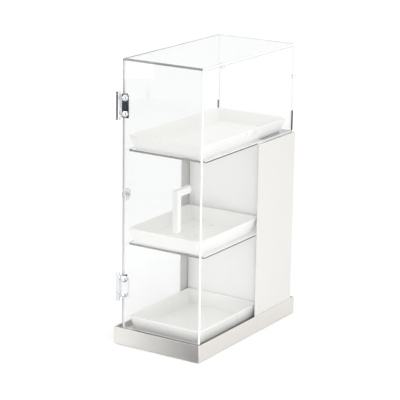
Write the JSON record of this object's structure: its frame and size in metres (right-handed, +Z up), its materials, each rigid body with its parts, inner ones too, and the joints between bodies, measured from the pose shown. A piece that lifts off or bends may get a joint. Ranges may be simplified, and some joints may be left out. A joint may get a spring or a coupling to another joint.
{
  "type": "bakery display case",
  "caption": "Tall narrow counter-top bread display case: clear body and hinged clear door on a stainless base, white trays on clear shelves, white cover round the lower back.",
  "frame": {"origin": "bottom centre of the whole part's box, on the counter plane; the box runs from the handle's front to the base's back, so it is 22.15 mm in front of the base's centre", "axes": "+Z up, -Y towards the customer (door side), +X from the hinge side to the handle side"},
  "size_m": [0.2124, 0.4342, 0.607],
  "materials": {
    "clear_sheet": "clear, polished edges",
    "stainless": "brushed",
    "chrome": "polished",
    "cover_sheet": "satin warm white",
    "white_sheet": "satin white",
    "white_tray": "semi-gloss white",
    "white_handle": "gloss white",
    "clear_buffer": "soft, cloudy",
    "rubber": "matt black"
  },
  "bodies": {
    "case": {"base_skirt": "stainless", "base_floor": "stainless", "base_feet": "rubber", "case_floor": "clear_sheet", "left_wall": "clear_sheet", "right_wall": "clear_sheet", "rear_wall": "clear_sheet", "top_panel": "clear_sheet", "partition": "white_sheet", "upper_shelf": "clear_sheet", "lower_shelf": "clear_sheet", "cover_left_side": "cover_sheet", "cover_right_side": "cover_sheet", "cover_back": "cover_sheet", "side_bumper": "clear_buffer", "side_bumper_screw": "chrome", "side_bumper_nut": "chrome", "rear_bumpers": "clear_buffer", "rear_strips": "rubber", "upper_hinge_case_leaf": "chrome", "upper_hinge_pin": "chrome", "upper_hinge_block": "clear_sheet", "upper_case_bolts": "chrome", "upper_case_nuts": "chrome", "lower_hinge_case_leaf": "chrome", "lower_hinge_pin": "chrome", "lower_hinge_block": "clear_sheet", "lower_case_bolts": "chrome", "lower_case_nuts": "chrome"},
    "door": {"door_panel": "clear_sheet", "handle": "white_handle", "handle_washer": "white_handle", "handle_screw": "chrome", "upper_hinge_door_leaf": "chrome", "upper_door_bolts": "chrome", "upper_door_nuts": "chrome", "lower_hinge_door_leaf": "chrome", "lower_door_bolts": "chrome", "lower_door_nuts": "chrome"},
    "upper_tray": {"upper_tray": "white_tray"},
    "middle_tray": {"middle_tray": "white_tray"},
    "lower_tray": {"lower_tray": "white_tray"}
  },
  "joints": [
    {"name": "door_hinge", "type": "hinge", "parent": "case", "child": "door", "pos_m": [-0.0957, -0.17275, 0.319], "axis": [0, 0, -1], "range_deg": [0, 180]},
    {"name": "upper_tray_slide", "type": "slide", "parent": "case", "child": "upper_tray", "axis": [0, -1, 0], "range_m": [-0.005, 0.007]},
    {"name": "middle_tray_slide", "type": "slide", "parent": "case", "child": "middle_tray", "axis": [0, -1, 0], "range_m": [-0.005, 0.005]},
    {"name": "lower_tray_slide", "type": "slide", "parent": "case", "child": "lower_tray", "axis": [0, -1, 0], "range_m": [0, 0.01]}
  ]
}
